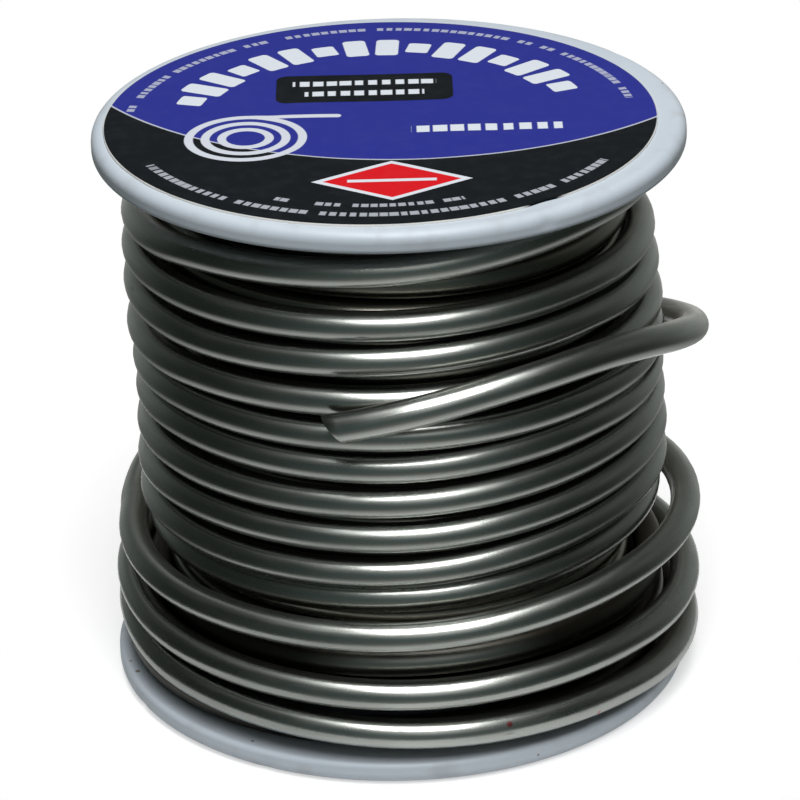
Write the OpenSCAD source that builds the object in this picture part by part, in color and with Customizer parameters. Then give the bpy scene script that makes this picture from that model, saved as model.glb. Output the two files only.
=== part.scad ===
// Solder wire reel: a two-part moulded reel, wound with soft solder wire whose
// last loops have slipped loose and whose cut end springs clear of the winding.

/* [Reel] */
// Diameter of both flanges
flange_d = 58; // [54:0.5:70]
// Height of the reel over both flanges
reel_h = 58; // [50:0.5:64]
// Thickness of each flange
flange_t = 2.2; // [1.6:0.1:3]
// Flat land left in the middle of each flange's rounded rim
rim_land = 0.2; // [0.1:0.1:1]
// Outer diameter of the barrel that carries the wire
barrel_d = 30; // [29:0.5:32]
// Wall thickness of the barrel
barrel_wall = 1.8; // [1.4:0.1:2.4]

/* [Hub] */
// Diameter of the bore that turns on a holder's spindle
bore_d = 16; // [12:0.5:17]
// Wall thickness of the sleeve round the bore
sleeve_wall = 1.6; // [1:0.1:2]
// Thickness of each rib between sleeve and barrel
rib_t = 1.4; // [0.8:0.1:2]
// Number of ribs in each half
rib_count = 6; // [3:1:8]
// Depth of the ribs' outer edges below the flange's face
rib_recess = 1.2; // [0.4:0.1:3]
// How far the ribs stop short of the joint
rib_setback = 1; // [0.5:0.1:3]
// How far one half's spigot enters the other
spigot_l = 3; // [2:0.5:5]
// Thickness of the spigot
spigot_t = 0.8; // [0.6:0.1:1]
// Clearance round the spigot and at its end
spigot_fit = 0.1; // [0.05:0.05:0.2]

/* [Label] */
// Bare rim that the label leaves free
label_margin = 2; // [1.4:0.1:6]
// Thickness of the label
label_t = 0.2; // [0.1:0.05:0.4]
// How far the label was stuck off centre to the left
label_off_x = 0.8; // [0:0.1:0.8]
// How far the label was stuck off centre to the front
label_off_y = 0.4; // [0:0.1:0.6]

/* [Wire] */
// Diameter of the solder wire
wire_d = 3; // [2.6:0.1:3.1]
// Inner layers under the outer one
core_layers = 3; // [1:1:3]
// Share of the wire's diameter that one nested layer adds
layer_rise = 0.9; // [0.86:0.01:0.94]
// Rows that the outer layer has room for; two of them stay empty
layer_rows = 15; // [9:1:15]
// Clearance between the wire and what it lies on or against
wire_fit = 0.3; // [0.2:0.05:0.4]
// Gap under a loose loop where it rides over the outer layer
loop_gap = 0.5; // [0.45:0.05:0.6]

/* [Hidden] */
$fn = 96;

// Reel
flange_r = flange_d / 2;
barrel_r = barrel_d / 2;
sleeve_r = bore_d / 2 + sleeve_wall;
barrel_bore_r = barrel_r - barrel_wall;
half_h = reel_h / 2;
rim_r = (flange_t - rim_land) / 2;
weld_in = 0.3; // how deep a rib is moulded into the walls it joins

// Winding: the plain inner layers, then one turn after another down the reel
bed_r = barrel_r + spigot_fit;
core_r = bed_r + core_layers * layer_rise * wire_d;
layer_r = core_r + wire_fit + wire_d / 2;
loop_r = layer_r + wire_d + loop_gap;
low_z = flange_t + wire_fit + wire_d / 2;
high_z = reel_h - low_z;
row_pitch = (high_z - low_z) / (layer_rows - 1);

// Rows are counted down from the upper flange. No turn starts in the row that
// the first turn sinks into, or in the one that the last loop has dropped into.
sunk_row = 1;
nest_row = layer_rows - 4;
turn_rows = [for (i = [0 : layer_rows - 1]) if (i != sunk_row && i != nest_row) i];
layer_turns = len(turn_rows);

// A turn is counted from the left side, round the back, to the front. The
// first starts on the right, and loose loops follow after the last.
first_turn = 0.5;
steps = 24;
// Height of the loose loops at each half turn, in rows above the lowest one
loop_rows = [0, 1, 1.5, 2, 3.5, 3.14];
last_turn = layer_turns + len(loop_rows) / 2;
// The wire moves out over the layer between these two turn counts
climb_from = layer_turns - 0.25;
climb_to = layer_turns + 0.25;
// The last loop drops in from here on, by this share of the wire's diameter
drop_from = last_turn - 0.4;
drop_share = 0.53;

// The free end leaves the last loop, rises behind the reel, bows out on the
// right and folds back over the front. Points are [x, y, z].
tail_route = [
    [-26.9, 3, 15.2], [-26.9, 6, 15.2], [-26.2, 10.9, 15.6], [-24.3, 15.8, 16.5],
    [-20.9, 20.4, 17.8], [-16, 24.2, 19.3], [-10.4, 27.1, 20.7], [-4.2, 28.8, 22],
    [2, 29, 23.3], [8.2, 27.9, 24.7], [14, 25.6, 26.2], [19.2, 22.3, 27.7],
    [23.6, 18, 29.3], [26.9, 12.8, 31], [29, 7, 32.9], [29.8, 0.8, 35],
    [29.2, -5.4, 37.1], [27.2, -11.2, 39], [23.8, -16.4, 40.6], [19.4, -20.8, 41.4],
    [14.2, -24.6, 41.4], [8.6, -27.1, 40.8], [2.8, -28.4, 39.8], [-2.2, -28.4, 38.7],
    [-6.4, -27.7, 37.7]
];
tail_sides = 8;
wire_sides = 6;

// One half of the reel, its flange's outer face at z = 0 and its barrel
// rising to the joint at half height.
module reel_shell(spigot) {
    rotate_extrude() {
        // Flange, with a rounded rim
        difference() {
            union() {
                translate([bore_d / 2, 0]) square([flange_r - rim_r - bore_d / 2, flange_t]);
                translate([flange_r - rim_r, rim_r]) circle(r = rim_r, $fn = 48);
                translate([flange_r - rim_r, flange_t - rim_r]) circle(r = rim_r, $fn = 48);
                translate([flange_r - rim_r - 1, rim_r]) square([rim_r + 1, rim_land]);
            }
            // Ring-shaped pocket round the sleeve, open on the outer face
            translate([sleeve_r, -1]) square([barrel_bore_r - sleeve_r, flange_t + 2]);
        }
        // Sleeve
        translate([bore_d / 2, 0]) square([sleeve_wall, half_h]);
        // Barrel wall, stepped for the joint
        if (spigot) {
            translate([barrel_bore_r, 0]) square([barrel_wall, half_h]);
            translate([barrel_bore_r, 0]) square([spigot_t, half_h + spigot_l]);
        } else {
            translate([barrel_bore_r, 0]) square([barrel_wall, half_h - spigot_l - spigot_fit]);
            translate([barrel_bore_r + spigot_t + spigot_fit, 0])
                square([barrel_wall - spigot_t - spigot_fit, half_h]);
        }
    }
}

// Ribs that hold the sleeve in the middle of the barrel
module hub_ribs() {
    rib_top = half_h - spigot_l - spigot_fit - rib_setback;
    for (i = [0 : rib_count - 1])
        rotate(i * 360 / rib_count)
            translate([sleeve_r - weld_in, -rib_t / 2, rib_recess])
                cube([barrel_bore_r - sleeve_r + 2 * weld_in, rib_t, rib_top - rib_recess]);
}

module reel_half(spigot) {
    union() {
        reel_shell(spigot);
        hub_ribs();
    }
}

module lower_reel_half() {
    color("whitesmoke") reel_half(false);
}

module upper_reel_half() {
    color("white") translate([0, 0, reel_h]) mirror([0, 0, 1]) reel_half(true);
}

module top_label() {
    color("darkslateblue")
        translate([-label_off_x, -label_off_y, reel_h])
            cylinder(r = flange_r - label_margin, h = label_t);
}

// The layers that the outer one hides, as one plain solid
module inner_layers() {
    color("dimgray")
        translate([0, 0, flange_t])
            rotate_extrude()
                translate([bed_r, 0]) square([core_r - bed_r, reel_h - 2 * flange_t]);
}

// Winding functions, by the turn count s
function ease(t) = let (u = min(1, max(0, t))) u * u * (3 - 2 * u);

function row_at(h) =
    let (i = min(len(loop_rows) - 2, max(0, floor(h))))
    loop_rows[i] + (loop_rows[i + 1] - loop_rows[i]) * ease(h - i);

// Turns lie level across the front and step down to the next row behind the
// reel. Only the first slopes across the front, from row 0 to the sunk row.
function row_after(k) = k < 2 ? sunk_row : turn_rows[k - 1];

function turn_z(s) =
    let (k = floor(s))
    s < 1 ? high_z - row_pitch * sunk_row * ease(2 * s - 1)
    : s < layer_turns
        ? high_z - row_pitch * (row_after(k) + (turn_rows[k] - row_after(k)) * ease(2 * (s - k)))
    : low_z + row_pitch * row_at(2 * (s - layer_turns) - 1);

function turn_r(s) =
    layer_r + (loop_r - layer_r) * ease((s - climb_from) / (climb_to - climb_from))
    - drop_share * wire_d * ease((s - drop_from) / (last_turn - drop_from));

function turn_point(s) =
    let (a = 180 - 360 * s)
    [turn_r(s) * cos(a), turn_r(s) * sin(a), turn_z(s)];

function unit(v) = v / norm(v);

// Both ends run straight on for one wire diameter
turn_count = round((last_turn - first_turn) * steps);
turns = [for (i = [0 : turn_count]) turn_point(first_turn + i / steps)];
start_way = [sin(180 - 360 * first_turn), -cos(180 - 360 * first_turn), 0];
end_way = [sin(180 - 360 * last_turn), -cos(180 - 360 * last_turn), 0];
winding_path = concat([turns[0] - wire_d * start_way], turns,
                      [turns[turn_count] + wire_d * end_way]);

// Least gap between turns, measured between points half a turn or more apart
winding_gap = min([for (i = [0 : turn_count - steps / 2])
                   min([for (j = [i + steps / 2 : turn_count]) norm(turns[i] - turns[j])])]) - wire_d;
echo(winding_gap = winding_gap);

// Sweep a round section of the given sides along points. Each ring stands
// square to the way the path runs there, with its first corner on top.
function way_at(path, i) =
    unit(path[min(len(path) - 1, i + 1)] - path[max(0, i - 1)]);

function ring_at(path, i, r, sides) =
    let (way = way_at(path, i), side = unit(cross(way, [0, 0, 1])), up = cross(side, way))
    [for (k = [0 : sides - 1])
        path[i] + r * (cos(360 * k / sides) * up + sin(360 * k / sides) * side)];

module sweep(path, r, sides) {
    last = len(path) - 1;
    points = [for (i = [0 : last]) each ring_at(path, i, r, sides)];
    walls = [for (i = [0 : last - 1], k = [0 : sides - 1])
        let (a = i * sides + k, b = i * sides + (k + 1) % sides)
        each [[a, b + sides, b], [a, a + sides, b + sides]]];
    caps = [for (k = [1 : sides - 2])
        each [[0, k, k + 1], [last * sides, last * sides + k + 1, last * sides + k]]];
    polyhedron(points = points, faces = concat(walls, caps));
}

module outer_winding() {
    color("silver") sweep(winding_path, wire_d / 2, wire_sides);
}

module wire_tail() {
    color("lightgray") sweep(tail_route, wire_d / 2, tail_sides);
}

upper_reel_half();
lower_reel_half();
top_label();
inner_layers();
outer_winding();
wire_tail();
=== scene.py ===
"""A solder wire spool: a white reel wound with bright solder wire, under a round printed label."""

import math
import random

import bmesh
import bpy
from mathutils import Matrix, Vector


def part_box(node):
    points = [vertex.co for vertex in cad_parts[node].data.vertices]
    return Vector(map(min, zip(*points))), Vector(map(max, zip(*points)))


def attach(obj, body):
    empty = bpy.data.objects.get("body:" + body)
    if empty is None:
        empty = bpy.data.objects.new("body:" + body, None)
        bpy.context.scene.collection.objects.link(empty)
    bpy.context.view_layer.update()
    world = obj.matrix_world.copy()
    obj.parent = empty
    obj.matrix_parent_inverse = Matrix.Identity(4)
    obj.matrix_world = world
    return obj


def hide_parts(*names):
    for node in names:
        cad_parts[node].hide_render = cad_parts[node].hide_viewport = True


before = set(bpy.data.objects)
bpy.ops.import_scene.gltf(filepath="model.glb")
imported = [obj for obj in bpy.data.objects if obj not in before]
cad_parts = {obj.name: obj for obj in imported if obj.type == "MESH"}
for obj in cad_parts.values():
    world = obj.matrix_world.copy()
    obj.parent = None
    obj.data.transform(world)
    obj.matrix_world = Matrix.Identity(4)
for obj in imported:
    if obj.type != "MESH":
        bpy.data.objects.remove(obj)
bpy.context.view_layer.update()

MM = 0.001

# The reel's own sizes, from the frame
reel_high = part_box("upper_reel_half")[1]
FLANGE_R = reel_high.x
REEL_H = reel_high.z
FLANGE_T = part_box("inner_layers")[0].z
label_low, label_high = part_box("top_label")
LABEL_R = (label_high.x - label_low.x) / 2
LABEL_X = (label_high.x + label_low.x) / 2
LABEL_Y = (label_high.y + label_low.y) / 2

# The sizes that the part's source names, which the frame doesn't give
WIRE_R = 1.5 * MM
BARREL_R = 15 * MM
BARREL_WALL = 1.8 * MM
BORE_R = 8 * MM
SLEEVE_WALL = 1.6 * MM
RIB_T = 1.4 * MM
RIB_COUNT = 6
RIB_RECESS = 1.2 * MM
SPIGOT_L = 3 * MM
SPIGOT_T = 0.8 * MM
SPIGOT_FIT = 0.1 * MM
RIB_SETBACK = 1 * MM

# The cut at the wire's ends: how much further its long side stands out than its short one, in wire
# radii, and which side is long, counted from the top through the side that faces the reel
CUT_SLANT = 1.1
CUT_TURN = math.radians(25)
# The rings that close it, as shares of the wire's radius, and how far each is domed, in wire radii
CUT_RINGS = ((1.0, 0.0), (0.97, 0.05), (0.9, 0.08), (0.6, 0.14), (0.3, 0.18))
CUT_DOME = 0.19  # and how far its middle is

# How much flux and painted shade the wire has, from 0, clean, to 1, brown with flux and dirt together
# with painted shade in its creases.
# Above that it is painted near-black: painted shade under the loose loops, and on the face of a cut.
SHADE_UNDER_LOOPS, SHADE_ON_CUT = 1.38, 2.0
SHADE_UNDER_LOOPS_FROM, SHADE_ON_CUT_FROM = 1.2, 1.5  # the levels at which these start to show


# ---------------------------------------------------------------- camera

def make_camera():
    """The photograph's angle: a long lens, a little over the upper flange, rolled by 1.5 degrees."""
    lens, sensor = 194.06, 36.0
    distance, elevation, roll = 432.67 * MM, math.radians(25.077), math.radians(-1.512)
    aim = Vector((0.41, 0, 27.63)) * MM
    data = bpy.data.cameras.new("photo_camera")
    data.lens, data.sensor_width = lens, sensor
    data.clip_start, data.clip_end = 0.01, 20
    camera = bpy.data.objects.new("photo_camera", data)
    bpy.context.scene.collection.objects.link(camera)
    place = aim + distance * Vector((0, -math.cos(elevation), math.sin(elevation)))
    way = (aim - place).normalized()
    right = way.cross(Vector((0, 0, 1))).normalized()
    up = right.cross(way)
    turned_right = math.cos(roll) * right + math.sin(roll) * up
    turned_up = math.cos(roll) * up - math.sin(roll) * right
    turn = Matrix((turned_right, turned_up, -way)).transposed()
    camera.matrix_world = Matrix.Translation(place) @ turn.to_4x4()
    bpy.context.scene.camera = camera


make_camera()


# ---------------------------------------------------------------- meshes

def smooth_mesh(name, points, faces):
    """A mesh object with smooth shading, in the scene."""
    mesh = bpy.data.meshes.new(name)
    mesh.from_pydata(points, [], faces)
    shell = bmesh.new()
    shell.from_mesh(mesh)
    bmesh.ops.recalc_face_normals(shell, faces=shell.faces)
    shell.to_mesh(mesh)
    shell.free()
    for polygon in mesh.polygons:
        polygon.use_smooth = True
    piece = bpy.data.objects.new(name, mesh)
    bpy.context.scene.collection.objects.link(piece)
    return piece


def lathe_data(profile, steps):
    """Points and faces of a closed profile of (radius, height) points turned about Z."""
    count = len(profile)
    points, faces = [], []
    for i in range(steps):
        angle = 2 * math.pi * i / steps
        points += [Vector((r * math.cos(angle), r * math.sin(angle), z)) for r, z in profile]
    for i in range(steps):
        j = (i + 1) % steps
        for k in range(count):
            n = (k + 1) % count
            faces.append((i * count + k, i * count + n, j * count + n, j * count + k))
    return points, faces


def ring_frames(path):
    """For each point of a path, the way it runs, the level way across it, and up square to both."""
    frames = []
    for i in range(len(path)):
        way = (path[min(i + 1, len(path) - 1)] - path[max(i - 1, 0)]).normalized()
        side = way.cross(Vector((0, 0, 1))).normalized()
        frames.append((way, side, side.cross(way)))
    return frames


def tube(name, path, radius, sides, start_cap=True, end_cap=True):
    """A round tube along a path. Its "wire" attribute holds the length along it, in metres, and the
    cosine and sine of the angle round it, counted from the top through the side that faces the reel."""
    frames = ring_frames(path)
    points, faces, marks = [], [], []
    run = 0.0
    for i, point in enumerate(path):
        if i:
            run += (point - path[i - 1]).length
        way, side, up = frames[i]
        for k in range(sides):
            angle = 2 * math.pi * k / sides
            points.append(point + radius * (math.cos(angle) * up + math.sin(angle) * side))
            marks.append((run, math.cos(angle), math.sin(angle)))
    for i in range(len(path) - 1):
        for k in range(sides):
            n = (k + 1) % sides
            a, b = i * sides + k, i * sides + n
            faces.append((a, a + sides, b + sides, b))
    if start_cap:
        close_end(points, faces, marks, 0, sides, path[0], -frames[0][0], False)
    if end_cap:
        last = len(path) - 1
        close_end(points, faces, marks, last * sides, sides, path[last], frames[last][0], True)
    piece = smooth_mesh(name, points, faces)
    layer = piece.data.attributes.new("wire", "FLOAT_VECTOR", "POINT")
    for item, mark in zip(layer.data, marks):
        item.vector = mark
    return piece


def mark_flux_and_shade(piece, flux_and_shade):
    """Writes how much flux and painted shade a tube's points carry, in their order. Points past the
    list's end are clean.
    """
    layer = piece.data.attributes.new("flux_and_shade", "FLOAT_VECTOR", "POINT")
    for item, amount in zip(layer.data, flux_and_shade):
        item.vector = (amount, 0, 0)


def close_end(points, faces, marks, first, sides, centre, outward, forward):
    """Closes a tube as side cutters leave it: with one slanted face, slightly domed, and a soft edge."""
    rim = [Vector(points[first + k]) for k in range(sides)]
    last = [first + k for k in range(sides)]
    for share, dome in CUT_RINGS:
        made = []
        for k in range(sides):
            lean = 0.5 + 0.5 * share * math.cos(2 * math.pi * k / sides - CUT_TURN)
            reach = (CUT_SLANT * lean + dome) * WIRE_R
            made.append(len(points))
            points.append(centre + share * (rim[k] - centre) + reach * outward)
            marks.append(marks[first + k])
        for k in range(sides):
            n = (k + 1) % sides
            face = (last[k], made[k], made[n], last[n])
            faces.append(face if forward else face[::-1])
        last = made
    tip = len(points)
    points.append(centre + (CUT_SLANT * 0.5 + CUT_DOME) * WIRE_R * outward)
    marks.append(marks[first])
    for k in range(sides):
        face = (last[k], tip, last[(k + 1) % sides])
        faces.append(face if forward else face[::-1])


def curve_through(points, per_step):
    """A smooth path through points (Catmull-Rom), with per_step pieces between each two."""
    path = []
    for i in range(len(points) - 1):
        p0, p1 = points[max(i - 1, 0)], points[i]
        p2, p3 = points[i + 1], points[min(i + 2, len(points) - 1)]
        for j in range(per_step):
            t = j / per_step
            path.append(0.5 * (2 * p1 + (p2 - p0) * t + (2 * p0 - 5 * p1 + 4 * p2 - p3) * t * t
                               + (3 * p1 - p0 - 3 * p2 + p3) * t ** 3))
    path.append(points[-1])
    return path


def ease(t):
    """A smooth step from 0 to 1."""
    t = min(1.0, max(0.0, t))
    return t * t * (3 - 2 * t)


def smooth_noise(seed, knots):
    """A function that wanders smoothly between -1 and 1 as its number goes from 0 to knots - 1."""
    dice = random.Random(seed)
    values = [dice.uniform(-1, 1) for _ in range(knots)]

    def at(x):
        i = min(knots - 2, max(0, int(x)))
        return values[i] + (values[i + 1] - values[i]) * ease(x - i)

    return at


# ---------------------------------------------------------------- materials

class Field:
    """A number that varies over a surface, worked out by the nodes of a material."""

    def __init__(self, tree, socket):
        self.tree, self.socket = tree, socket

    def put(self, operation, *others, clamp=False):
        """One Math node on this number and others."""
        node = self.tree.nodes.new("ShaderNodeMath")
        node.operation, node.use_clamp = operation, clamp
        for socket, value in zip(node.inputs, (self,) + others):
            if isinstance(value, Field):
                self.tree.links.new(value.socket, socket)
            else:
                socket.default_value = value
        return Field(self.tree, node.outputs[0])

    def __add__(self, other):
        return self.put("ADD", other)

    def __sub__(self, other):
        return self.put("SUBTRACT", other)

    def __mul__(self, other):
        return self.put("MULTIPLY", other)

    def __truediv__(self, other):
        return self.put("DIVIDE", other)

    __radd__, __rmul__ = __add__, __mul__

    def __rsub__(self, other):
        return self.put("MULTIPLY", -1).put("ADD", other)

    def size(self):
        """The number without its sign."""
        return self.put("ABSOLUTE")

    def above(self, edge, soft):
        """0 below the edge and 1 above it, with a ramp as wide as soft."""
        return ((self - edge) / soft).put("ADD", 0.5, clamp=True)

    def below(self, edge, soft):
        """1 below the edge and 0 above it."""
        return 1 - self.above(edge, soft)

    def both(self, *others):
        """This mask where the others are set too."""
        made = self
        for other in others:
            made = made.put("MINIMUM", other)
        return made

    def either(self, *others):
        """This mask, and where one of the others is set."""
        made = self
        for other in others:
            made = made.put("MAXIMUM", other)
        return made


class Nodes:
    """The short cuts that the recipes below use in a node tree."""

    def __init__(self, tree):
        self.tree = tree

    def place(self, kind="Object"):
        """Where a point lies, in metres, as a vector socket. In the world, Generated is a direction."""
        return self.tree.nodes.new("ShaderNodeTexCoord").outputs[kind]

    def attribute(self, name):
        """What a mesh attribute holds, as a vector socket."""
        node = self.tree.nodes.new("ShaderNodeAttribute")
        node.attribute_name = name
        return node.outputs["Vector"]

    def seen_rays(self):
        """Masks of the rays from the camera, and of those that a shiny or clear surface sends on."""
        path = self.tree.nodes.new("ShaderNodeLightPath")
        camera, glossy, through = [Field(self.tree, path.outputs["Is %s Ray" % kind])
                                   for kind in ("Camera", "Glossy", "Transmission")]
        return camera, glossy.either(through)

    def parts(self, vector):
        """The three numbers of a vector."""
        node = self.tree.nodes.new("ShaderNodeSeparateXYZ")
        self.tree.links.new(vector, node.inputs[0])
        return [Field(self.tree, socket) for socket in node.outputs]

    def vector(self, *fields):
        """A vector socket of three numbers."""
        node = self.tree.nodes.new("ShaderNodeCombineXYZ")
        for socket, value in zip(node.inputs, fields):
            if isinstance(value, Field):
                self.tree.links.new(value.socket, socket)
            else:
                socket.default_value = value
        return node.outputs[0]

    def noise(self, vector, scale, detail=2.0, roughness=0.5):
        """Smooth noise from 0 to 1, with scale features to a unit."""
        node = self.tree.nodes.new("ShaderNodeTexNoise")
        node.inputs["Scale"].default_value = scale
        node.inputs["Detail"].default_value = detail
        node.inputs["Roughness"].default_value = roughness
        self.tree.links.new(vector, node.inputs["Vector"])
        return Field(self.tree, node.outputs[0])

    def spots(self, vector, scale):
        """Scattered points: how far the nearest lies, in shares of their spacing, and its own number."""
        node = self.tree.nodes.new("ShaderNodeTexVoronoi")
        node.inputs["Scale"].default_value = scale
        self.tree.links.new(vector, node.inputs["Vector"])
        own = self.parts(node.outputs["Color"])[0]
        return Field(self.tree, node.outputs["Distance"]), own

    def near(self, vector, point, reach):
        """A mask of what lies within reach of a point."""
        node = self.tree.nodes.new("ShaderNodeVectorMath")
        node.operation = "DISTANCE"
        node.inputs[1].default_value = point
        self.tree.links.new(vector, node.inputs[0])
        return Field(self.tree, node.outputs["Value"]).below(reach, reach * 0.6)

    def dice(self, field):
        """A number from 0 to 1 of its own for each whole number."""
        node = self.tree.nodes.new("ShaderNodeTexWhiteNoise")
        node.noise_dimensions = "1D"
        self.tree.links.new(field.put("FLOOR").socket, node.inputs["W"])
        return Field(self.tree, node.outputs["Value"])

    def mix(self, mask, below, above):
        """A colour from below to above with a mask. Either is (r, g, b) or a colour from mix."""
        node = self.tree.nodes.new("ShaderNodeMix")
        node.data_type = "RGBA"
        self.tree.links.new(mask.socket, node.inputs["Factor"])
        for socket, value in ((node.inputs[6], below), (node.inputs[7], above)):
            if isinstance(value, tuple):
                socket.default_value = value + (1.0,)
            else:
                self.tree.links.new(value, socket)
        return node.outputs[2]


class Surface(Nodes):
    """A material with a Principled shader."""

    def __init__(self, name, metallic=0.0, specular=0.5):
        self.material = bpy.data.materials.new(name)
        self.material.use_nodes = True
        super().__init__(self.material.node_tree)
        self.shader = self.tree.nodes["Principled BSDF"]
        self.shader.inputs["Metallic"].default_value = metallic
        self.shader.inputs["Specular IOR Level"].default_value = specular

    def flecked(self, colour, place, flecks, paint):
        """The colour, with flecks of paint at places of the object."""
        for x, y, z, size in flecks:
            fleck = self.near(place, Vector((x, y, z)) * MM, size * MM)
            colour = self.mix(fleck * 0.8, colour, paint)
        return colour

    def finish(self, colour, roughness, bumps):
        """Sets colour, roughness and bumps, which are (height field, depth in metres), coarse first."""
        self.tree.links.new(colour, self.shader.inputs["Base Color"])
        self.tree.links.new(roughness.socket, self.shader.inputs["Roughness"])
        normal = None
        for height, depth in bumps:
            node = self.tree.nodes.new("ShaderNodeBump")
            node.inputs["Distance"].default_value = depth
            self.tree.links.new(height.socket, node.inputs["Height"])
            if normal:
                self.tree.links.new(normal, node.inputs["Normal"])
            normal = node.outputs[0]
        self.tree.links.new(normal, self.shader.inputs["Normal"])
        return self.material


# Flecks of red paint on the wire, and of rust and dirt on the flanges: x, y, z and radius, all in mm
PAINT_FLECKS = ((10.2, -27.9, 5.8, 0.28), (19.0, -23.0, 4.2, 0.22))
DIRT_FLECKS = (
    (-26.8, -8.6, 2.2, 0.24), (-27.6, -6.4, 2.1, 0.18), (-14.9, -23.5, 2.2, 0.17),
    (13.0, -26.0, 1.2, 0.14), (9.0, 27.4, 2.2, 0.2), (-20.0, 19.5, 2.2, 0.15), (27.2, 7.5, 58.0, 0.15),
)


def solder_material(name, metal, flux_and_shade_strength):
    """Drawn soft solder: bright, with fine lines along it, dull patches, brown flux together with painted
    shade in its creases, and small nicks. Where it is marked for painted shade, under the loose loops and
    on the face of a cut, it is dark and dull."""
    surface = Surface(name, metallic=1.0)
    along, up, inward = surface.parts(surface.attribute("wire"))
    lines = surface.noise(surface.vector(along * 22, up * 7, inward * 7), 1.0, detail=3.0)
    fine_lines = surface.noise(surface.vector(along * 60, up * 22, inward * 22), 1.0, detail=2.0)
    patches = surface.noise(surface.vector(along * 130, up * 1.2, inward * 1.2), 1.0, detail=3.0)
    dents = surface.noise(surface.vector(along * 150, up * 0.7, inward * 0.7), 1.0, detail=1.0)
    grime = surface.noise(surface.vector(along * 75, up * 2.2, inward * 2.2), 1.0, detail=4.0)
    nick_distance, nick_own = surface.spots(surface.vector(along * 300, up * 1.6, inward * 1.6), 1.0)
    nicks = nick_distance.below(0.14, 0.16).both(nick_own.above(0.955, 0.02))
    dull = patches.above(0.60, 0.25)
    flux_and_shade = surface.parts(surface.attribute("flux_and_shade"))[0]
    # Painted shade with flux: the side that faces the reel is browned and darkened, partly flux and
    # partly painted shade between turns
    shade = (inward + flux_and_shade * 1.1).above(0.35, 1.1)
    flux_and_painted_shade = shade.both((grime + flux_and_shade * 0.25).above(0.42, 0.3)) * flux_and_shade_strength
    colour = surface.mix(lines.above(0.5, 0.6), metal, tuple(1.10 * level for level in metal))
    colour = surface.mix(dull * 0.5, colour, tuple(0.80 * level for level in metal))
    colour = surface.mix(flux_and_painted_shade * 0.85, colour, (0.085, 0.058, 0.030))
    # Painted shade under the loose loops: the wire there is painted near-black
    shade_under_loops = flux_and_shade.above(SHADE_UNDER_LOOPS_FROM, 0.3).both(flux_and_shade.below(SHADE_ON_CUT_FROM, 0.1))
    # Painted shade on the face of a cut: it is painted near-black
    cut = flux_and_shade.above(SHADE_ON_CUT_FROM, 0.2)
    colour = surface.mix(shade_under_loops * 0.75, colour, (0.030, 0.025, 0.018))
    colour = surface.mix(cut * 0.9, colour, (0.045, 0.045, 0.042))
    colour = surface.mix(nicks * 0.5, colour, tuple(0.5 * level for level in metal))
    colour = surface.flecked(colour, surface.place(), PAINT_FLECKS, (0.45, 0.02, 0.03))
    roughness = 0.24 + lines * 0.04 + dull * 0.08 + flux_and_painted_shade * 0.25 + nicks * 0.1
    return surface.finish(colour, roughness, [
        (dents, 0.00004), (lines, 0.0000022), (fine_lines, 0.0000008), (nicks * -1.0, 0.00002)])


def plastic_material():
    """White moulded polystyrene: satin, faintly uneven, with rubbed-in grey along its rim and specks."""
    surface = Surface("reel_white_plastic", specular=0.45)
    place = surface.place()
    x, y = surface.parts(place)[:2]
    reach = (x * x + y * y).put("SQRT")
    cloud = surface.noise(place, 90, detail=3.0)
    grain = surface.noise(place, 2600, detail=2.0)
    smears = surface.noise(place, 260, detail=4.0)
    speck_distance, speck_own = surface.spots(place, 190)
    specks = speck_distance.below(0.10, 0.05).both(speck_own.above(0.955, 0.01))
    rim = reach.above(FLANGE_R - 1.2 * MM, 1.5 * MM)
    rubbed = rim.both(smears.above(0.62, 0.2))
    colour = surface.mix(cloud, (0.535, 0.595, 0.66), (0.58, 0.64, 0.70))
    colour = surface.mix(rubbed * 0.35, colour, (0.36, 0.36, 0.37))
    colour = surface.mix(specks * 0.7, colour, (0.22, 0.17, 0.12))
    colour = surface.flecked(colour, place, DIRT_FLECKS, (0.14, 0.075, 0.03))
    roughness = 0.34 + cloud * 0.10 + rubbed * 0.15
    return surface.finish(colour, roughness, [(cloud, 0.00006), (smears, 0.00001), (grain, 0.0000025)])


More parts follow.
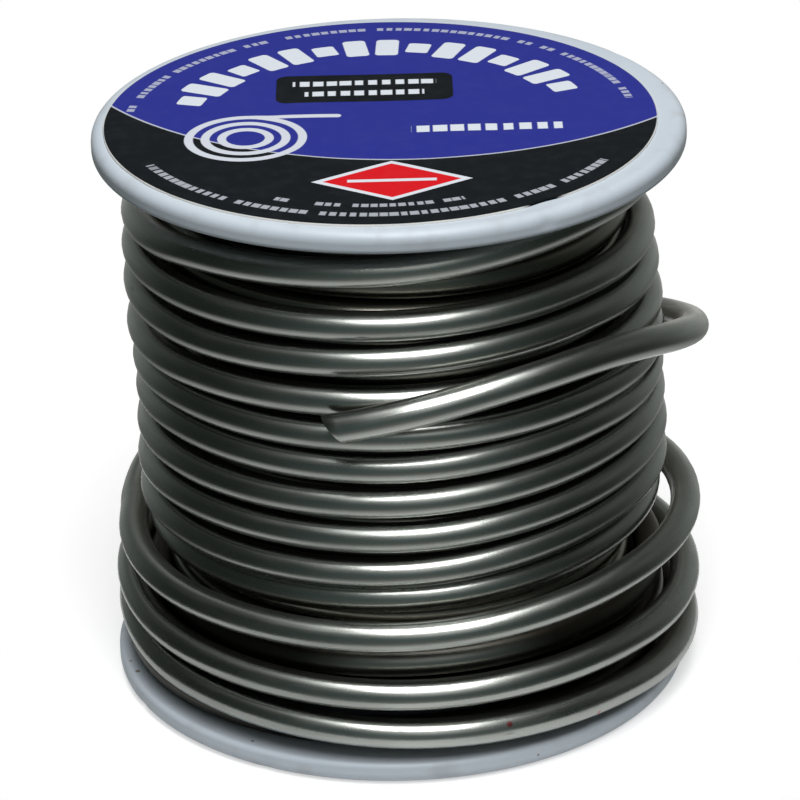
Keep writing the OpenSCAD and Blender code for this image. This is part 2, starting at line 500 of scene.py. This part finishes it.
class Print:
    """Flat shapes on the label, as masks over its own x and y, in mm from its middle."""

    SOFT = 0.10  # width of a printed edge

    def __init__(self, surface, x, y):
        self.surface, self.x, self.y = surface, x, y
        self.reach = (x * x + y * y).put("SQRT")
        self.bearing = y.put("ARCTAN2", x) * (180 / math.pi)

    def box(self, x, y, width, height, fillet):
        """Distance outside a rounded box round (0, 0)."""
        dx = (x.size() - (width / 2 - fillet)).put("MAXIMUM", 0)
        dy = (y.size() - (height / 2 - fillet)).put("MAXIMUM", 0)
        return (dx * dx + dy * dy).put("SQRT") - fillet

    def filled(self, distance):
        """The inside of an edge."""
        return distance.below(0, self.SOFT)

    def outlined(self, distance, width):
        """A line of a width, centred on the edge."""
        return distance.size().below(width / 2, self.SOFT)

    def between(self, field, low, high, soft=0.1):
        """Where a number lies between two others."""
        return field.above(low, soft).both(field.below(high, soft))

    def bars_round(self, middle, length, width, first, pitch, count):
        """A ring of rounded bars that point at the label's middle. Every third one is shorter."""
        step = (self.bearing - first) / pitch
        place = step.put("FLOOR")
        across = (step - place - 0.5) * (pitch * math.pi / 180) * self.reach
        short = (place / 3).put("FRACT").below(0.2, 0.01)
        along = (self.reach - middle) * (1 + short * 0.7)
        inside = self.between(place, -0.5, count - 0.5, 0.01)
        return self.filled(self.box(across, along, width, length, 0.45)).both(inside)

    def small_print(self, run, row, low, high, pitch, height, seed):
        """A row of dashes of uneven length, with a gap here and there."""
        step = run / pitch + seed
        place = step.put("FLOOR")
        size, gap = self.surface.dice(step), self.surface.dice(step + 1000)
        reach = 0.28 + size * 0.18
        dash = (step - place - 0.5).size().put("SUBTRACT", reach).below(0, self.SOFT / pitch)
        return dash.both(gap.below(0.86, 0.01), row.size().below(height / 2, self.SOFT),
                         self.between(run, low, high))

    def coil(self, cx, cy):
        """A coil of wire seen from its end: three rings and a straight tail."""
        x, y = self.x - cx, self.y - cy
        reach = (x * x + y * y).put("SQRT")
        rings = [self.outlined(reach - radius, 0.85) for radius in (2.3, 3.9, 5.5)]
        tail = self.filled(self.box(x - 4.6, y - 5.5, 9.2, 0.85, 0.4))
        return rings[0].either(rings[1], rings[2], tail)


def label_material():
    """Coated paper, printed with a plain pattern of its own: a blue field, a dark crescent at the front,
    a ring of bars, a small coil, a red lozenge and rows of dashes where small print would be."""
    surface = Surface("label_printed_paper", specular=0.05)
    place = surface.place()
    x, y = surface.parts(place)[:2]
    art = Print(surface, (x - LABEL_X) / MM, (y - LABEL_Y) / MM)

    blue, black, white = (0.021, 0.028, 0.25), (0.0040, 0.0060, 0.0080), (0.66, 0.70, 0.76)
    red, grey = (0.62, 0.006, 0.012), (0.60, 0.63, 0.70)

    crescent_x, crescent_y, crescent_r = 3.0, 24.0, 35.0
    cx, cy = art.x - crescent_x, art.y - crescent_y
    bow = (cx * cx + cy * cy).put("SQRT") - crescent_r
    dark = bow.above(0, art.SOFT)

    panel = art.filled(art.box(art.x + 1.5, art.y - 8.2, width=17.5, height=7.4, fillet=1.2))
    panel_rows = [art.small_print(art.x, art.y - row, low, high, pitch=1.35, height=1.25, seed=seed)
                  for row, low, high, seed in ((9.6, -8.6, 5.6, 40), (6.8, -7.4, 4.4, 70))]
    caption = art.small_print(art.x, art.y + 3.2, 3.0, 17.6, pitch=1.65, height=1.7, seed=90)
    bars = art.bars_round(middle=19.4, length=4.4, width=2.3, first=17, pitch=9.4, count=16)
    coil = art.coil(cx=-13.0, cy=-4.6)

    lozenge_x, lozenge_y, lozenge_half_w, lozenge_half_h = 1.0, -16.2, 7.6, 4.9
    side, rise = (art.x - lozenge_x).size(), (art.y - lozenge_y).size()
    lozenge = side / lozenge_half_w + rise / lozenge_half_h
    lozenge_face = lozenge.below(0.86, 0.02)
    lozenge_edge = lozenge.below(1.0, 0.02)
    lozenge_cut = rise.below(0.32, art.SOFT).both(side.below(4.2, art.SOFT))

    # Rows of small print run round the edge: the radius of each, where it starts and ends along its arc,
    # the height of its dashes and its own seed
    arc = art.bearing * (24.6 * math.pi / 180)
    rim_rows = [art.small_print(arc, art.reach - radius, low, high, pitch=0.95, height=height, seed=seed)
                for radius, low, high, height, seed in ((24.7, 3.6, 74.0, 0.75, 300),
                                                        (24.5, -66.0, -13.0, 0.85, 500),
                                                        (22.3, -50.0, -30.0, 0.75, 700))]
    fine = rim_rows[0].either(*rim_rows[1:])

    worn = surface.noise(place, 700, detail=4.0)
    colour = surface.mix(dark, blue, black)
    colour = surface.mix(art.outlined(bow, 0.22) * 0.8, colour, grey)
    colour = surface.mix(panel, colour, black)
    colour = surface.mix(fine * 0.6, colour, grey)
    colour = surface.mix(bars.either(caption, *panel_rows), colour, white)
    colour = surface.mix(coil, colour, grey)
    colour = surface.mix(lozenge_edge, colour, white)
    colour = surface.mix(lozenge_face, colour, red)
    colour = surface.mix(lozenge_cut, colour, white)
    colour = surface.mix(worn.above(0.66, 0.4) * 0.012, colour, grey)
    colour = surface.mix(art.reach.above(LABEL_R / MM - 0.12, 0.1), colour, (0.70, 0.70, 0.68))
    fibre = surface.noise(place, 5200, detail=2.0)
    waves = surface.noise(place, 110, detail=2.0)
    roughness = 0.42 + worn * 0.06
    return surface.finish(colour, roughness, [(waves, 0.00005), (fibre, 0.0000018)])


solder = solder_material("solder_bright", metal=(0.378, 0.395, 0.370), flux_and_shade_strength=0.9)
# A darker copy of the solder for the layers under the outer one: painted shade where they show in the
# gaps
shaded_inner_solder = solder_material("solder_under_painted_shade", metal=(0.24, 0.235, 0.205), flux_and_shade_strength=0.8)
white_plastic = plastic_material()
printed_paper = label_material()


def wear(piece, material):
    """Gives a piece one material for all its faces."""
    piece.data.materials.clear()
    piece.data.materials.append(material)


# ---------------------------------------------------------------- wire

# The free end's route, the same points as in the part's source
TAIL_ROUTE = [
    (-26.9, 3, 15.2), (-26.9, 6, 15.2), (-26.2, 10.9, 15.6), (-24.3, 15.8, 16.5),
    (-20.9, 20.4, 17.8), (-16, 24.2, 19.3), (-10.4, 27.1, 20.7), (-4.2, 28.8, 22),
    (2, 29, 23.3), (8.2, 27.9, 24.7), (14, 25.6, 26.2), (19.2, 22.3, 27.7),
    (23.6, 18, 29.3), (26.9, 12.8, 31), (29, 7, 32.9), (29.8, 0.8, 35),
    (29.2, -5.4, 37.1), (27.2, -11.2, 39), (23.8, -16.4, 40.6), (19.4, -20.8, 41.4),
    (14.2, -24.6, 41.4), (8.6, -27.1, 40.8), (2.8, -28.4, 39.8), (-2.2, -28.4, 38.7),
    (-6.4, -27.7, 37.7),
]

# Each turn of the outer layer and then of the loose loops, from the top, in mm: its heights at BEARINGS,
# the radius of its ring, and how far the ring lies off the reel's axis, to the right.
TURNS = [
    ((54.1, 54.1, 54.0, 52.5, 51.5, 50.7, 49.6), 24.9, 0.0),
    ((46.8, 47.2, 47.3, 46.9, 46.5, 46.4, 46.1), 24.75, -0.3),
    ((43.1, 43.6, 43.9, 43.4, 42.8, 42.7, 42.5), 25.0, -0.1),
    ((39.3, 39.5, 39.6, 39.2, 38.8, 38.4, 37.9), 25.1, 0.1),
    ((35.5, 35.8, 35.9, 35.6, 35.5, 35.3, 34.2), 25.0, 0.4),
    ((32.3, 32.6, 32.8, 32.1, 32.1, 31.9, 30.8), 24.9, 0.45),
    ((29.2, 29.4, 29.3, 28.5, 28.1, 27.9, 27.1), 24.95, 0.45),
    ((26.0, 26.0, 25.8, 24.9, 24.5, 24.2, 23.3), 25.05, 0.55),
    ((22.7, 22.6, 22.4, 21.1, 20.7, 20.6, 20.0), 25.0, 0.6),
    ((19.3, 19.1, 18.9, 18.1, 17.7, 17.6, 17.2), 24.3, 0.6),
    ((10.9, 11.0, 11.4, 11.3, 11.0, 10.9, 10.8), 24.8, 0.6),
    ((7.4, 7.4, 7.5, 7.5, 7.3, 7.2, 7.2), 24.7, 0.6),
    ((3.9, 3.9, 3.9, 3.8, 3.8, 3.8, 3.85), 24.7, 0.6),
    ((3.75, 4.2, 4.72, 5.12, 6.1, 6.35, 7.45), 28.1, 0.8),
    ((8.9, 9.4, 9.7, 9.4, 9.9, 10.1, 10.7), 28.15, 0.9),
    ((16.8, 17.1, 17.0, 15.55, 15.15, 15.1, 15.2), 28.1, 0.9),
]
BEARINGS = (0, 30, 45, 90, 135, 150, 180)  # from the right side round the front to the left
FIRST_LOOP = 13  # the first loose loop's place among the turns
# The turn before it moves out from this part of a turn on, by so much at the left side, in mm
CLIMB_FROM, LOOP_CLIMB = 0.22, 2.3
DROP_FROM = 0.1  # and the last loop drops in from this part of its turn on
WANDER_UP, WANDER_OUT = 0.1, 0.07  # how uneven the turns are, in mm
STEPS = 96  # rings in one turn
OUTER_SIDES, TAIL_SIDES = 20, 24

# The turns under the loose loops, where flux and dirt have gathered. They are painted near-black all
# round as painted shade, except for a lit stretch a little to the right of the front: its middle and half
# its length, in turns.
FLUX_AND_SHADE_FROM, FLUX_AND_SHADE_TO = 9.3, 13.4
BRIGHT_AT, BRIGHT_REACH = 0.235, 0.03

# The layers under the outer one, from the barrel out, in mm: the radius of each one's ring, its sides and
# its rings in one turn, and whether it runs up the reel
INNER_R = 21.9
INNER_LAYERS = ((16.65, 8, 48, True), (19.3, 8, 48, False), (INNER_R, 16, STEPS, True))
INNER_PITCH, INNER_WANDER = 3.12, 0.08
TOP_Z, BOTTOM_Z = 54.1, 3.9
LEAD_IN = 0.42  # the part of a turn in which the wire comes up to the outer layer


def front_height(turn, bearing):
    """The height of a turn at a bearing, by a smooth curve through its heights."""
    heights = TURNS[turn][0]
    i = max(k for k in range(len(BEARINGS) - 1) if BEARINGS[k] <= bearing or k == 0)
    b0, b1 = BEARINGS[i], BEARINGS[i + 1]
    slope = []
    for k in (i, i + 1):
        a, b = max(k - 1, 0), min(k + 1, len(BEARINGS) - 1)
        slope.append((heights[b] - heights[a]) / (BEARINGS[b] - BEARINGS[a]))
    width = b1 - b0
    t = (bearing - b0) / width
    return ((2 * t ** 3 - 3 * t ** 2 + 1) * heights[i] + (t ** 3 - 2 * t ** 2 + t) * width * slope[0]
            + (3 * t ** 2 - 2 * t ** 3) * heights[i + 1] + (t ** 3 - t ** 2) * width * slope[1])


def winding_point(s, wander_z, wander_r):
    """A point of the outer winding, in mm. s counts turns: each runs from its whole number at the right
    side round the front to the left side half a turn on, and then behind the reel to the next."""
    turn = min(int(s), len(TURNS) - 1) if s >= 0 else -1
    part = s - turn
    angle = -2 * math.pi * s
    if turn < 0:
        # The wire comes up out of the layer below, under the upper flange
        share = ease((s + LEAD_IN) / 0.4)
        radius, shift = INNER_R + (TURNS[0][1] - INNER_R) * share, TURNS[0][2] * share
        height = TOP_Z
    elif part <= 0.5:
        radius, shift = TURNS[turn][1:]
        height = front_height(turn, part * 360)
        if turn == FIRST_LOOP - 1:
            radius += LOOP_CLIMB * ease((part - CLIMB_FROM) / (0.5 - CLIMB_FROM))
        if turn == len(TURNS) - 1:
            # It ends at the left side, where the free end starts
            left = ease((part - DROP_FROM) / (0.5 - DROP_FROM))
            radius += (-TAIL_ROUTE[0][0] - radius) * left
            shift *= 1 - left
    else:
        behind = ease((part - 0.5) * 2)
        here, after = TURNS[turn], TURNS[turn + 1]
        start = here[1] + (LOOP_CLIMB if turn == FIRST_LOOP - 1 else 0)
        radius = start + (after[1] - start) * behind
        shift = here[2] + (after[2] - here[2]) * behind
        height = here[0][-1] + (after[0][0] - here[0][-1]) * behind
    fade = min(1.0, max(0.0, (len(TURNS) - 0.6 - s) / 0.3))  # even at the end, to meet the free end
    height += WANDER_UP * wander_z(s * 5 + 3) * fade
    radius += WANDER_OUT * wander_r(s * 4 + 3) * fade
    height = min(max(height, BOTTOM_Z - 0.2), TOP_Z + 0.15)
    return Vector((radius * math.cos(angle) + shift, radius * math.sin(angle), height))


def stain_at(s):
    """How much flux and painted shade the outer winding has at a turn count. It starts a little browned
    and darkened under the flange, flux and painted shade together.
    """
    amount = ease((s - FLUX_AND_SHADE_FROM) / 0.9) * ease((FLUX_AND_SHADE_TO - s) / 0.6) + 0.5 * ease((0.4 - s) / 0.4)
    if FLUX_AND_SHADE_FROM + 0.5 < s < FLUX_AND_SHADE_TO - 0.6:
        # Painted shade: near-black all round under the loose loops, except the lit stretch
        amount += (SHADE_UNDER_LOOPS - 1) * ease((abs(s % 1 - BRIGHT_AT) - BRIGHT_REACH) / 0.06)
    return amount


def make_outer_winding():
    """The outer layer and the loose loops, one length of wire that ends where the free end starts."""
    first, last = -LEAD_IN, len(TURNS) - 0.5
    wander_z, wander_r = smooth_noise(seed=3, knots=100), smooth_noise(seed=5, knots=100)
    count = round((last - first) * STEPS)
    step = (last - first) / count
    path = [winding_point(first + i * step, wander_z, wander_r) * MM for i in range(count + 1)]
    end = Vector(TAIL_ROUTE[0]) * MM
    path += [path[-1].lerp(end, share) for share in (1 / 3, 2 / 3, 1)]
    piece = tube("solder_outer_turns", path, WIRE_R, OUTER_SIDES, start_cap=True, end_cap=False)
    flux_and_shade = []
    for i in range(len(path)):
        flux_and_shade += [stain_at(first + i / STEPS)] * OUTER_SIDES
    mark_flux_and_shade(piece, flux_and_shade)
    wear(piece, solder)
    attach(piece, "root")
    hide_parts("outer_winding")


def make_tail():
    """The free end: it leaves the last loop, rises behind the reel and folds back over the front."""
    path = curve_through([Vector(p) * MM for p in TAIL_ROUTE], per_step=8)
    body = path[:-3]  # the slanted cut takes up the route's last few steps
    piece = tube("solder_free_end", body, WIRE_R, TAIL_SIDES, start_cap=False, end_cap=True)
    cut_face = (len(body) + 1) * TAIL_SIDES
    # The cut face is marked for painted shade
    mark_flux_and_shade(piece, [0.0 if i < cut_face else SHADE_ON_CUT for i in range(len(piece.data.vertices))])
    wear(piece, solder)
    length = sum((b - a).length for a, b in zip(path, path[1:]))
    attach(piece, "root")
    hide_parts("wire_tail")


def make_inner_layers():
    """The layers under the outer one, as wound wire too. Only the last of them shows, in the gaps, and
    it ends where the outer one starts."""
    turns = (TOP_Z - BOTTOM_Z) / INNER_PITCH
    for layer, (radius, sides, steps, rising) in enumerate(INNER_LAYERS):
        wander = smooth_noise(seed=11 + layer, knots=100)
        path = []
        count = round(turns * steps)
        for i in range(count + 1):
            s = -LEAD_IN - turns + i / steps if rising else i / steps
            share = i / count
            height = BOTTOM_Z + (TOP_Z - BOTTOM_Z) * (share if rising else 1 - share)
            r = radius + INNER_WANDER * wander(i * 4 / steps)
            angle = -2 * math.pi * s
            path.append(Vector((r * math.cos(angle), r * math.sin(angle), height)) * MM)
        piece = tube("solder_inner_turns_%d" % (layer + 1), path, WIRE_R, sides)
        # The darker copy of the solder: painted shade
        wear(piece, shaded_inner_solder)
        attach(piece, "root")
        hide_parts("inner_layers")


make_tail()
make_outer_winding()
make_inner_layers()


# ---------------------------------------------------------------- reel

REEL_STEPS, SLEEVE_STEPS = 360, 192  # round a half of the reel and round its sleeve
RIM_OUTER_FILLET, RIM_INNER_FILLET = 1.1 * MM, 0.5 * MM
# Small dents in the rims: bearing in degrees, then height, width and depth in mm
RIM_DENTS = (
    (-49.5, 1.9, 0.9, 0.28), (-60.0, 57.0, 0.7, 0.15), (-118.0, 0.6, 0.7, 0.12), (35.0, 57.3, 0.8, 0.2),
    (140.0, 1.2, 0.9, 0.22), (100.0, 56.5, 0.6, 0.12), (205.0, 0.9, 0.7, 0.15),
)


def rounded_outline(corners, steps=6, hold=0.04 * MM):
    """Points round a closed outline whose corners are (radius, height, fillet). A point just past each
    end of a fillet keeps the shading of the flats flat."""
    outline = []
    for i, (r, z, fillet) in enumerate(corners):
        corner = Vector((r, z))
        back = (Vector(corners[i - 1][:2]) - corner).normalized()
        on = (Vector(corners[(i + 1) % len(corners)][:2]) - corner).normalized()
        half = back.angle(on) / 2
        run = fillet / math.tan(half)
        centre = corner + (back + on).normalized() * fillet / math.sin(half)
        start, end = corner + back * run - centre, corner + on * run - centre
        first = math.atan2(start.y, start.x)
        sweep = (math.atan2(end.y, end.x) - first + math.pi) % (2 * math.pi) - math.pi
        outline.append(corner + back * (run + hold))
        for k in range(steps + 1):
            angle = first + sweep * k / steps
            outline.append(centre + fillet * Vector((math.cos(angle), math.sin(angle))))
        outline.append(corner + on * (run + hold))
    return outline


def rib_data(angle, low, high):
    """Points and faces of a rib between sleeve and barrel, with a fillet at each wall and soft edges."""
    inner, outer = BORE_R + SLEEVE_WALL, BARREL_R - BARREL_WALL
    root, weld_in, steps = 0.5 * MM, 0.3 * MM, 5
    outline = [(inner - weld_in, RIB_T / 2 + root), (inner, RIB_T / 2 + root)]
    for k in range(1, steps + 1):
        turn = math.pi / 2 * k / steps
        outline.append((inner + root * (1 - math.cos(turn)), RIB_T / 2 + root * (1 - math.sin(turn))))
    for k in range(steps):
        turn = math.pi / 2 * (1 - k / steps)
        outline.append((outer - root * (1 - math.cos(turn)), RIB_T / 2 + root * (1 - math.sin(turn))))
    outline += [(outer, RIB_T / 2 + root), (outer + weld_in, RIB_T / 2 + root)]
    outline += [(u, -v) for u, v in reversed(outline)]
    points, faces = [], []
    soft = 0.15 * MM
    levels = ((low, soft), (low + 0.3 * soft, 0.3 * soft), (low + soft, 0), (high - soft, 0),
              (high - 0.3 * soft, 0.3 * soft), (high, soft))
    for z, inset in levels:
        for u, v in outline:
            w = v - math.copysign(inset, v)
            points.append(Vector((u * math.cos(angle) - w * math.sin(angle),
                                  u * math.sin(angle) + w * math.cos(angle), z)))
    count = len(outline)
    for i in range(len(levels) - 1):
        for k in range(count):
            n = (k + 1) % count
            faces.append((i * count + k, i * count + n, (i + 1) * count + n, (i + 1) * count + k))
    faces.append(tuple(range(count)))
    faces.append(tuple((len(levels) - 1) * count + k for k in range(count)))
    return points, faces


def reel_half_data(spigot):
    """Points and faces of one half of the reel, with its flange's outer face at height 0 and its joint
    at the top."""
    half, inner = REEL_H / 2, BARREL_R - BARREL_WALL
    socket_z = half - SPIGOT_L - SPIGOT_FIT
    wall = [
        (inner, 0, 0.25 * MM), (FLANGE_R, 0, RIM_OUTER_FILLET), (FLANGE_R, FLANGE_T, RIM_INNER_FILLET),
        (BARREL_R, FLANGE_T, 0.2 * MM), (BARREL_R, half, 0.1 * MM),
    ]
    if spigot:
        step, spigot_z = inner + SPIGOT_T, half + SPIGOT_L
        wall += [(step, half, 0.08 * MM), (step, spigot_z, 0.2 * MM), (inner, spigot_z, 0.2 * MM)]
    else:
        step = inner + SPIGOT_T + SPIGOT_FIT
        wall += [(step, half, 0.1 * MM), (step, socket_z, 0.08 * MM), (inner, socket_z, 0.1 * MM)]
    sleeve_r = BORE_R + SLEEVE_WALL
    sleeve = [
        (BORE_R, 0, 0.3 * MM), (sleeve_r, 0, 0.25 * MM),
        (sleeve_r, half, 0.1 * MM), (BORE_R, half, 0.1 * MM),
    ]
    solids = [lathe_data(rounded_outline(wall), REEL_STEPS),
              lathe_data(rounded_outline(sleeve), SLEEVE_STEPS)]
    for i in range(RIB_COUNT):
        solids.append(rib_data(2 * math.pi * i / RIB_COUNT, RIB_RECESS, socket_z - RIB_SETBACK))
    return solids


def dent_rim(point):
    """Moves a point of a rim in towards the axis where something has knocked it."""
    reach = math.hypot(point.x, point.y)
    if reach < FLANGE_R - 1.2 * MM:
        return point
    moved = point.copy()
    for bearing, height, width, depth in RIM_DENTS:
        angle = math.radians(bearing)
        place = Vector((FLANGE_R * math.cos(angle), FLANGE_R * math.sin(angle), height * MM))
        near = (point - place).length / (width * MM)
        push = depth * MM * math.exp(-near * near)
        moved.x -= push * point.x / reach
        moved.y -= push * point.y / reach
    return moved


def make_reel_half(name, node, upper):
    """One moulding of the reel. The upper one has the joint's spigot and the lower one its socket."""
    points, faces = [], []
    for solid_points, solid_faces in reel_half_data(spigot=upper):
        first = len(points)
        for point in solid_points:
            if upper:
                point = Vector((point.x, point.y, REEL_H - point.z))
            points.append(dent_rim(point))
        faces += [tuple(first + k for k in face) for face in solid_faces]
    piece = smooth_mesh(name, points, faces)
    piece.data.set_sharp_from_angle(angle=math.radians(40))
    wear(piece, white_plastic)
    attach(piece, "root")
    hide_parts(node)


make_reel_half("reel_upper_moulding", "upper_reel_half", True)
make_reel_half("reel_lower_moulding", "lower_reel_half", False)


# ---------------------------------------------------------------- label

LABEL_RINGS, LABEL_SPOKES = 54, 240
BORE_DIP, POCKET_DIP = 0.07 * MM, 0.035 * MM  # how far the paper dips over the bore and round the sleeve
KINK_BEARING, KINK_WIDTH, KINK_DEPTH = 304, 3.5, 0.25 * MM  # a dent in its edge, the first two in degrees
# Its last rings: how far inside the edge each lies, and how far it drops, for a softly cut edge
EDGE_RINGS = ((0.12 * MM, 0.0), (0.03 * MM, 0.02 * MM), (0.0, 0.09 * MM))


def make_label():
    """A disc of paper, pressed on by hand: it dips a little over the bore and the pocket round it."""
    rings, spokes = LABEL_RINGS, LABEL_SPOKES
    foot, top = REEL_H, label_high.z
    hollow = BORE_R, BORE_R + SLEEVE_WALL, BARREL_R - BARREL_WALL
    wander = smooth_noise(seed=21, knots=60)
    radii = [LABEL_R * i / rings for i in range(1, rings)]
    radii += [LABEL_R - inset for inset, drop in EDGE_RINGS]
    drops = [0] * (rings - 1) + [drop for inset, drop in EDGE_RINGS]

    def height(x, y):
        reach = math.hypot(x, y)
        dip = 0.0
        if reach < hollow[0]:
            dip = BORE_DIP * ease((hollow[0] - reach) / (hollow[0] * 0.7))
        elif hollow[1] < reach < hollow[2]:
            share = (reach - hollow[1]) / (hollow[2] - hollow[1])
            dip = POCKET_DIP * math.sin(math.pi * share) ** 2
        return top - dip

    points = [Vector((LABEL_X, LABEL_Y, height(LABEL_X, LABEL_Y)))]
    for radius, drop in zip(radii, drops):
        for k in range(spokes):
            angle = 2 * math.pi * k / spokes
            edge = ease((radius / LABEL_R - 0.9) / 0.1)
            kink = KINK_DEPTH * math.exp(-((math.degrees(angle) - KINK_BEARING) / KINK_WIDTH) ** 2) * edge
            reach = radius - kink - 0.03 * MM * edge * (1 + wander(k / spokes * 50))
            x, y = LABEL_X + reach * math.cos(angle), LABEL_Y + reach * math.sin(angle)
            points.append(Vector((x, y, height(x, y) - drop)))
    last = len(points) - spokes
    faces = [(0, 1 + k, 1 + (k + 1) % spokes) for k in range(spokes)]
    for i in range(len(radii) - 1):
        for k in range(spokes):
            n = (k + 1) % spokes
            a = 1 + i * spokes
            faces.append((a + k, a + spokes + k, a + spokes + n, a + n))
    points += [Vector((points[last + k].x, points[last + k].y, foot)) for k in range(spokes)]
    rim = last + spokes
    for k in range(spokes):
        n = (k + 1) % spokes
        faces.append((last + k, rim + k, rim + n, last + n))
    faces.append(tuple(rim + k for k in reversed(range(spokes))))
    piece = smooth_mesh("label_round", points, faces)
    piece.data.set_sharp_from_angle(angle=math.radians(50))
    wear(piece, printed_paper)
    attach(piece, "root")
    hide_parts("top_label")


make_label()


# ---------------------------------------------------------------- floor and light

# The white board that the reel stands on, near its front edge
BOARD_HALF_W, BOARD_FRONT, BOARD_BACK, BOARD_CORNER = 40 * MM, -41 * MM, 85 * MM, 20 * MM
FLOOR_LIFT = 0.54  # how much brighter than it is lit the camera sees the board
FLOOR_SHINE = 0.38  # and shiny surfaces do, along a strip from front to back and behind the reel; outside it, beside the reel, a painted shadow
# The strip's two soft edges and the one behind the reel: the middle and width of each, in mm
SHINE_LEFT, SHINE_RIGHT, SHINE_BACK = (-7, 16), (22, 50), (5, 30)
TABLE_RISE = 0.48  # how steeply down the white table starts to show, as a share of straight down
# The room's own brightness, and its lighter parts: where each lies, how narrow it is, and its brightness
ROOM_DARK = (0.022, 0.027, 0.022)
ROOM_PARTS = (
    (Vector((0.0, -1.0, 0.0)), 3, (0.082, 0.125, 0.125)),
    (Vector((0.0, -0.75, -0.66)), 6, (0.21, 0.21, 0.195)),
    (Vector((0.55, 0.835, 0.0)), 6, (0.30, 0.315, 0.305)),
    (Vector((0.86, 0.25, 0.44)), 16, (0.12, 0.125, 0.12)),
    (Vector((-0.5, 0.866, 0.0)), 10, (0.235, 0.255, 0.255)),
    (Vector((0.0, 0.98, -0.2)), 14, (0.75, 0.75, 0.72)),
    (Vector((0.0, 0.0, 1.0)), 12, (0.85, 0.85, 0.85)),
    (Vector((0.12, -0.82, 0.56)), 30, (0.90, 0.90, 0.90)),
    (Vector((-0.1, 0.55, 0.83)), 26, (0.95, 0.95, 0.93)),
)
BACK_TOP, BACK_FADE = 0.75, 0.5  # how high the low parts behind the reel reach
# The lamp, in metres and watts
LAMP_WAY, LAMP_DISTANCE = Vector((0.035, -0.385, 0.922)), 0.6
LAMP_WIDTH, LAMP_LENGTH, LAMP_POWER = 0.29, 0.46, 3.3


def floor_material():
    """Matt white board. The camera and shiny surfaces see it a little brighter than it is lit."""
    surface = Surface("floor_white", specular=0.0)
    camera, other = surface.seen_rays()
    place = surface.place()
    grain = surface.noise(place, 40, detail=2.0)
    colour = surface.mix(grain, (0.61, 0.61, 0.61), (0.63, 0.63, 0.63))
    across, back = [field / MM for field in surface.parts(place)[:2]]
    # Painted shadow: beside the reel the board gets no lift for shiny surfaces, as if the reel shaded it
    front = across.above(*SHINE_LEFT).both(across.below(*SHINE_RIGHT))
    shine = front.either(back.above(*SHINE_BACK)) * FLOOR_SHINE
    lift = (camera * FLOOR_LIFT).either(other * shine)
    surface.shader.inputs["Emission Color"].default_value = (1, 1, 1, 1)
    surface.tree.links.new(lift.socket, surface.shader.inputs["Emission Strength"])
    return surface.finish(colour, 0.9 + grain * 0.05, [(grain, 0.00001)])


def make_floor():
    """The board, a flat sheet with round corners."""
    outline = []
    corner_steps = 12
    for x, y, first in ((1, 1, 0), (-1, 1, 90), (-1, -1, 180), (1, -1, 270)):
        corner_x = x * (BOARD_HALF_W - BOARD_CORNER)
        corner_y = (BOARD_BACK - BOARD_CORNER) if y > 0 else (BOARD_FRONT + BOARD_CORNER)
        for k in range(corner_steps + 1):
            angle = math.radians(first + 90 / corner_steps * k)
            outline.append(Vector((corner_x + BOARD_CORNER * math.cos(angle),
                                   corner_y + BOARD_CORNER * math.sin(angle), 0)))
    piece = smooth_mesh("floor", outline, [tuple(range(len(outline)))])
    piece.location.z = -0.1 * MM
    wear(piece, floor_material())


def make_world():
    """A dim room round a white table. The camera sees white all round, and shiny surfaces the table."""
    world = bpy.data.worlds.new("studio")
    world.use_nodes = True
    bpy.context.scene.world = world
    nodes = Nodes(world.node_tree)
    x, y, z = nodes.parts(nodes.place("Generated"))
    room = ROOM_DARK
    for way, spread, colour in ROOM_PARTS:
        way = way.normalized()
        part = (x * way.x + y * way.y + z * way.z).put("MAXIMUM", 0).put("POWER", spread)
        if way.y > 0 and way.z < BACK_TOP:
            part = part * z.below(BACK_TOP, BACK_FADE)
        room = nodes.mix(part, room, colour)
    camera, other = nodes.seen_rays()
    table = ((z * -1.0 - TABLE_RISE) / (1 - TABLE_RISE)).put("MAXIMUM", 0)
    white = camera.either(other * table)
    background = world.node_tree.nodes["Background"]
    world.node_tree.links.new(nodes.mix(white, room, (1.0, 1.0, 1.0)), background.inputs["Color"])


def make_light():
    """One softbox above and a little in front, which the wire shows as a bright streak on each turn."""
    place = LAMP_WAY * LAMP_DISTANCE
    data = bpy.data.lights.new("softbox", "AREA")
    data.shape = "RECTANGLE"
    data.size, data.size_y = LAMP_WIDTH, LAMP_LENGTH
    data.energy = LAMP_POWER
    lamp = bpy.data.objects.new("softbox", data)
    bpy.context.scene.collection.objects.link(lamp)
    lamp.location = place
    lamp.rotation_euler = (-place).to_track_quat("-Z", "Y").to_euler()


make_floor()
make_world()
make_light()

bpy.context.scene.view_settings.view_transform = "Standard"
